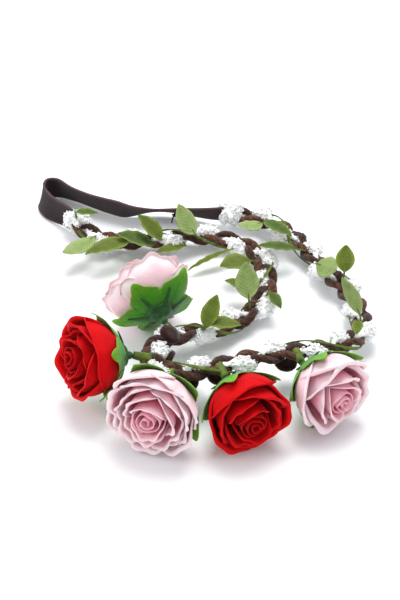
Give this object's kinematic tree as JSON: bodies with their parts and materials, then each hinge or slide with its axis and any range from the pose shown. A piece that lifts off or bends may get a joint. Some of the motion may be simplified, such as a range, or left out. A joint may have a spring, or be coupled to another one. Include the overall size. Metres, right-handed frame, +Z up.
{
  "type": "flower crown",
  "caption": "Plaited cord and lace hair band closed by a flat elastic, with a leafy vine wound round it and fabric roses along its front, laid folded.",
  "frame": {"origin": "on the surface that the crown lies on, under the middle of its outline", "axes": "+Z up from that surface; -Y towards the row of roses, +Y towards the elastic; +X to the right when looking along +Y"},
  "size_m": [0.1549, 0.1912, 0.0424],
  "materials": {
    "cord_russet": "fuzzy twisted chenille, reddish brown",
    "cord_dark": "fuzzy twisted chenille, dark brown",
    "lace_white": "fluffy white boucle lace",
    "vine_green": "thin olive ribbon",
    "elastic_brown": "flat woven elastic, dark brown",
    "thread_black": "sewing thread, black",
    "felt_brown": "brown felt",
    "plastic_green": "moulded dark green plastic",
    "collar_green": "bright green stiffened fabric",
    "leaf_green": "olive stiffened fabric, paler under",
    "petal_red": "matt red satin fabric",
    "petal_pink": "pale pink fabric, deeper in the folds"
  },
  "bodies": {
    "band": {"back_pink_felt_pad": "felt_brown", "brown_cord_dark": "cord_dark", "brown_cord_russet": "cord_russet", "elastic_band": "elastic_brown", "front_pink_felt_pad": "felt_brown", "front_red_felt_pad": "felt_brown", "left_end_wrap": "lace_white", "left_red_felt_pad": "felt_brown", "right_end_wrap": "lace_white", "right_pink_felt_pad": "felt_brown", "thread_knot": "thread_black", "vine_ribbon": "vine_green", "white_lace": "lace_white"},
    "back_pink_base": {"back_pink_calyx": "plastic_green", "back_pink_leaf_collar": "collar_green"},
    "back_pink_flower": {"back_pink_outer_petals": "petal_pink", "back_pink_middle_petals": "petal_pink", "back_pink_heart": "petal_pink"},
    "left_red_base": {"left_red_calyx": "plastic_green", "left_red_leaf_collar": "collar_green"},
    "left_red_flower": {"left_red_outer_petals": "petal_red", "left_red_middle_petals": "petal_red", "left_red_heart": "petal_red"},
    "front_pink_base": {"front_pink_calyx": "plastic_green", "front_pink_leaf_collar": "collar_green"},
    "front_pink_flower": {"front_pink_outer_petals": "petal_pink", "front_pink_middle_petals": "petal_pink", "front_pink_heart": "petal_pink"},
    "front_red_base": {"front_red_calyx": "plastic_green", "front_red_leaf_collar": "collar_green"},
    "front_red_flower": {"front_red_outer_petals": "petal_red", "front_red_middle_petals": "petal_red", "front_red_heart": "petal_red"},
    "right_pink_base": {"right_pink_calyx": "plastic_green", "right_pink_leaf_collar": "collar_green"},
    "right_pink_flower": {"right_pink_outer_petals": "petal_pink", "right_pink_middle_petals": "petal_pink", "right_pink_heart": "petal_pink"},
    "leaf_01_blade": {"leaf_01": "leaf_green"},
    "leaf_02_blade": {"leaf_02": "leaf_green"},
    "leaf_03_blade": {"leaf_03": "leaf_green"},
    "leaf_04_blade": {"leaf_04": "leaf_green"},
    "leaf_05_blade": {"leaf_05": "leaf_green"},
    "leaf_06_blade": {"leaf_06": "leaf_green"},
    "leaf_07_blade": {"leaf_07": "leaf_green"},
    "leaf_08_blade": {"leaf_08": "leaf_green"},
    "leaf_09_blade": {"leaf_09": "leaf_green"},
    "leaf_10_blade": {"leaf_10": "leaf_green"},
    "leaf_11_blade": {"leaf_11": "leaf_green"},
    "leaf_12_blade": {"leaf_12": "leaf_green"},
    "leaf_13_blade": {"leaf_13": "leaf_green"},
    "leaf_14_blade": {"leaf_14": "leaf_green"},
    "leaf_15_blade": {"leaf_15": "leaf_green"},
    "leaf_16_blade": {"leaf_16": "leaf_green"},
    "leaf_17_blade": {"leaf_17": "leaf_green"},
    "leaf_18_blade": {"leaf_18": "leaf_green"},
    "leaf_19_blade": {"leaf_19": "leaf_green"},
    "leaf_20_blade": {"leaf_20": "leaf_green"},
    "leaf_21_blade": {"leaf_21": "leaf_green"},
    "leaf_22_blade": {"leaf_22": "leaf_green"}
  },
  "joints": [
    {"name": "back_pink_nod", "type": "hinge", "parent": "band", "child": "back_pink_base", "pos_m": [-0.01411, -0.02153, 0.01506], "axis": [0.8156, 0.4862, -0.3137], "range_deg": [-4, 12]},
    {"name": "back_pink_turn", "type": "hinge", "parent": "back_pink_base", "child": "back_pink_flower", "pos_m": [-0.01411, -0.02153, 0.01506], "axis": [-0.4042, 0.8667, 0.2924], "continuous": true},
    {"name": "left_red_nod", "type": "hinge", "parent": "band", "child": "left_red_base", "pos_m": [-0.02834, -0.05051, 0.01959], "axis": [-0.4478, 0.8933, -0.0378], "range_deg": [-4, 12]},
    {"name": "left_red_turn", "type": "hinge", "parent": "left_red_base", "child": "left_red_flower", "pos_m": [-0.02834, -0.05051, 0.01959], "axis": [-0.864, -0.4214, 0.2756], "continuous": true},
    {"name": "front_pink_nod", "type": "hinge", "parent": "band", "child": "front_pink_base", "pos_m": [-0.01202, -0.06939, 0.01903], "axis": [-0.9505, 0.3058, -0.0545], "range_deg": [-4, 12]},
    {"name": "front_pink_turn", "type": "hinge", "parent": "front_pink_base", "child": "front_pink_flower", "pos_m": [-0.01202, -0.06939, 0.01903], "axis": [-0.3086, -0.9498, 0.0523], "continuous": true},
    {"name": "front_red_nod", "type": "hinge", "parent": "band", "child": "front_red_base", "pos_m": [0.01291, -0.06564, 0.01868], "axis": [-0.9273, -0.3743, -0.0093], "range_deg": [-4, 12]},
    {"name": "front_red_turn", "type": "hinge", "parent": "front_red_base", "child": "front_red_flower", "pos_m": [0.01291, -0.06564, 0.01868], "axis": [0.3744, -0.9266, -0.0349], "continuous": true},
    {"name": "right_pink_nod", "type": "hinge", "parent": "band", "child": "right_pink_base", "pos_m": [0.04511, -0.05441, 0.01779], "axis": [-0.8423, -0.5263, 0.116], "range_deg": [-4, 12]},
    {"name": "right_pink_turn", "type": "hinge", "parent": "right_pink_base", "child": "right_pink_flower", "pos_m": [0.04511, -0.05441, 0.01779], "axis": [0.5299, -0.848, 0], "continuous": true},
    {"name": "leaf_01_flex", "type": "hinge", "parent": "band", "child": "leaf_01_blade", "pos_m": [-0.04819, 0.04512, 0.01134], "axis": [-0.7071, 0.7071, 0], "range_deg": [-6, 12], "stiffness_Nm_per_rad": 0.00025},
    {"name": "leaf_02_flex", "type": "hinge", "parent": "band", "child": "leaf_02_blade", "pos_m": [-0.03179, 0.04208, 0.0117], "axis": [-0.4848, 0.8746, 0], "range_deg": [-6, 12], "stiffness_Nm_per_rad": 0.00025},
    {"name": "leaf_03_flex", "type": "hinge", "parent": "band", "child": "leaf_03_blade", "pos_m": [-0.02086, 0.04195, 0.00953], "axis": [0.0523, 0.9986, 0], "range_deg": [-6, 12], "stiffness_Nm_per_rad": 0.00025},
    {"name": "leaf_04_flex", "type": "hinge", "parent": "band", "child": "leaf_04_blade", "pos_m": [-0.05625, 0.0594, 0.01574], "axis": [-0.1392, -0.9903, 0], "range_deg": [-6, 12], "stiffness_Nm_per_rad": 0.00025},
    {"name": "leaf_05_flex", "type": "hinge", "parent": "band", "child": "leaf_05_blade", "pos_m": [-0.01681, 0.04401, 0.01171], "axis": [0.5, 0.866, 0], "range_deg": [-6, 12], "stiffness_Nm_per_rad": 0.00025},
    {"name": "leaf_06_flex", "type": "hinge", "parent": "band", "child": "leaf_06_blade", "pos_m": [-0.00111, 0.04687, 0.01252], "axis": [0.6691, 0.7431, 0], "range_deg": [-6, 12], "stiffness_Nm_per_rad": 0.00025},
    {"name": "leaf_07_flex", "type": "hinge", "parent": "band", "child": "leaf_07_blade", "pos_m": [-0.00626, 0.04384, 0.00721], "axis": [-0.309, 0.9511, 0], "range_deg": [-6, 12], "stiffness_Nm_per_rad": 0.00025},
    {"name": "leaf_08_flex", "type": "hinge", "parent": "band", "child": "leaf_08_blade", "pos_m": [0.01577, 0.04016, 0.00791], "axis": [-0.3647, 0.8668, -0.3401], "range_deg": [-6, 12], "stiffness_Nm_per_rad": 0.00025},
    {"name": "leaf_09_flex", "type": "hinge", "parent": "band", "child": "leaf_09_blade", "pos_m": [0.0238, 0.02816, 0.01055], "axis": [-0.342, 0.9397, 0], "range_deg": [-6, 12], "stiffness_Nm_per_rad": 0.00025},
    {"name": "leaf_10_flex", "type": "hinge", "parent": "band", "child": "leaf_10_blade", "pos_m": [0.02313, 0.01, 0.0086], "axis": [0.2588, 0.9659, 0], "range_deg": [-6, 12], "stiffness_Nm_per_rad": 0.00025},
    {"name": "leaf_11_flex", "type": "hinge", "parent": "band", "child": "leaf_11_blade", "pos_m": [0.02302, -0.00432, 0.01451], "axis": [0.9903, 0.1392, 0], "range_deg": [-6, 12], "stiffness_Nm_per_rad": 0.00025},
    {"name": "leaf_12_flex", "type": "hinge", "parent": "band", "child": "leaf_12_blade", "pos_m": [0.03297, 0.00045, 0.01312], "axis": [-0.866, -0.5, 0], "range_deg": [-6, 12], "stiffness_Nm_per_rad": 0.00025},
    {"name": "leaf_13_flex", "type": "hinge", "parent": "band", "child": "leaf_13_blade", "pos_m": [0.00409, -0.02551, 0.01497], "axis": [0.9135, -0.4067, 0], "range_deg": [-6, 12], "stiffness_Nm_per_rad": 0.00025},
    {"name": "leaf_14_flex", "type": "hinge", "parent": "band", "child": "leaf_14_blade", "pos_m": [0.00527, -0.02366, 0.01536], "axis": [-0.0349, -0.9994, 0], "range_deg": [-6, 12], "stiffness_Nm_per_rad": 0.00025},
    {"name": "leaf_15_flex", "type": "hinge", "parent": "band", "child": "leaf_15_blade", "pos_m": [0.00358, -0.05239, 0.01376], "axis": [0.6997, 0.5523, -0.4532], "range_deg": [-6, 12], "stiffness_Nm_per_rad": 0.00025},
    {"name": "leaf_16_flex", "type": "hinge", "parent": "band", "child": "leaf_16_blade", "pos_m": [0.03041, 0.05758, 0.01067], "axis": [-0.4695, 0.8829, 0], "range_deg": [-6, 12], "stiffness_Nm_per_rad": 0.00025},
    {"name": "leaf_17_flex", "type": "hinge", "parent": "band", "child": "leaf_17_blade", "pos_m": [0.03215, 0.0574, 0.01177], "axis": [-0.7547, -0.6561, 0], "range_deg": [-6, 12], "stiffness_Nm_per_rad": 0.00025},
    {"name": "leaf_18_flex", "type": "hinge", "parent": "band", "child": "leaf_18_blade", "pos_m": [0.0457, 0.0373, 0.01055], "axis": [-0.1392, 0.9903, 0], "range_deg": [-6, 12], "stiffness_Nm_per_rad": 0.00025},
    {"name": "leaf_19_flex", "type": "hinge", "parent": "band", "child": "leaf_19_blade", "pos_m": [0.05511, 0.02262, 0.0127], "axis": [-0.4595, -0.6885, -0.561], "range_deg": [-6, 12], "stiffness_Nm_per_rad": 0.00025},
    {"name": "leaf_20_flex", "type": "hinge", "parent": "band", "child": "leaf_20_blade", "pos_m": [0.06668, 0.01527, 0.01448], "axis": [0.9945, -0.1045, 0], "range_deg": [-6, 12], "stiffness_Nm_per_rad": 0.00025},
    {"name": "leaf_21_flex", "type": "hinge", "parent": "band", "child": "leaf_21_blade", "pos_m": [0.07091, -0.01699, 0.01599], "axis": [0.7311, -0.2265, 0.6436], "range_deg": [-6, 12], "stiffness_Nm_per_rad": 0.00025},
    {"name": "leaf_22_flex", "type": "hinge", "parent": "band", "child": "leaf_22_blade", "pos_m": [0.06961, -0.02615, 0.01833], "axis": [-0.9903, 0.1392, 0], "range_deg": [-6, 12], "stiffness_Nm_per_rad": 0.00025}
  ]
}
